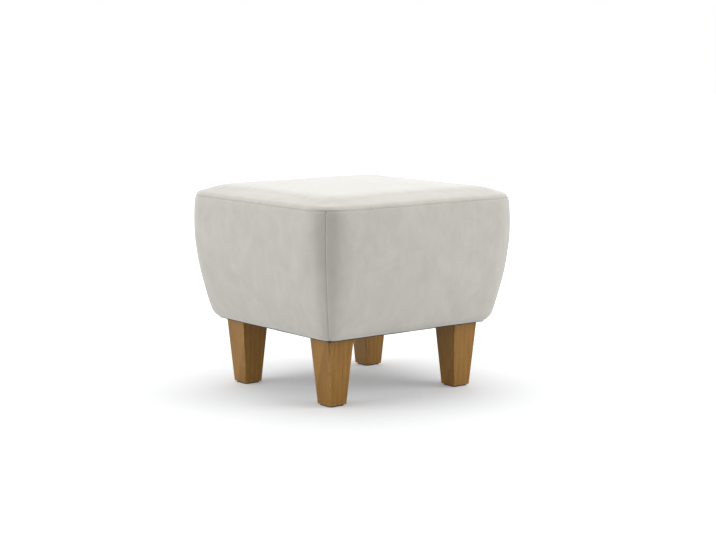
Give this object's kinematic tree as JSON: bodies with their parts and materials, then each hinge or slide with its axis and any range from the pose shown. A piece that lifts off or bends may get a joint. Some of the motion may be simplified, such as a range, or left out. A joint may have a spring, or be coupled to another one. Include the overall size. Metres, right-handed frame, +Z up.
{
  "type": "upholstered footstool",
  "caption": "Footstool with a crowned velvet-covered body that draws in towards the bottom, on tapered square wooden legs.",
  "frame": {"origin": "on the floor, under the middle of the stool", "axes": "+Z up; -Y is the front, the longer side seen on the right in the picture; +X runs along that side"},
  "size_m": [0.51, 0.49, 0.41],
  "materials": {
    "velvet": "short-pile off-white velvet with a slight nap",
    "leg_wood": "mid brown stain under satin lacquer, grain along the leg",
    "glide": "dark moulded plastic",
    "frame_timber": "sawn softwood",
    "plywood": "sanded plywood",
    "panel_board": "smooth hardboard",
    "foam": "open-cell foam",
    "wadding": "loose polyester fibre",
    "webbing": "woven strap",
    "dust_cloth": "black non-woven cloth",
    "zinc_steel": "zinc plated",
    "staple_steel": "galvanised wire"
  },
  "bodies": {
    "root": {"base_rail_back": "frame_timber", "base_rail_front": "frame_timber", "base_rail_left": "frame_timber", "base_rail_right": "frame_timber", "corner_block_back_left": "plywood", "corner_block_back_right": "plywood", "corner_block_front_left": "plywood", "corner_block_front_right": "plywood", "cover_back": "velvet", "cover_front": "velvet", "cover_left": "velvet", "cover_right": "velvet", "cover_top": "velvet", "dust_cover": "dust_cloth", "dust_cover_staples": "staple_steel", "glide_back_left": "glide", "glide_back_right": "glide", "glide_front_left": "glide", "glide_front_right": "glide", "hanger_bolts": "zinc_steel", "leg_back_left": "leg_wood", "leg_back_right": "leg_wood", "leg_front_left": "leg_wood", "leg_front_right": "leg_wood", "post_back_left": "frame_timber", "post_back_right": "frame_timber", "post_front_left": "frame_timber", "post_front_right": "frame_timber", "rib_back": "plywood", "rib_front": "plywood", "rib_left": "plywood", "rib_right": "plywood", "seat_foam": "foam", "side_foam_back": "foam", "side_foam_front": "foam", "side_foam_left": "foam", "side_foam_right": "foam", "side_panel_back": "panel_board", "side_panel_front": "panel_board", "side_panel_left": "panel_board", "side_panel_right": "panel_board", "strap_across_1": "webbing", "strap_across_2": "webbing", "strap_across_3": "webbing", "strap_lengthwise_1": "webbing", "strap_lengthwise_2": "webbing", "strap_lengthwise_3": "webbing", "tee_nuts": "zinc_steel", "top_rail_back": "frame_timber", "top_rail_front": "frame_timber", "top_rail_left": "frame_timber", "top_rail_right": "frame_timber", "wadding": "wadding", "webbing_staples": "staple_steel"}
  },
  "joints": []
}
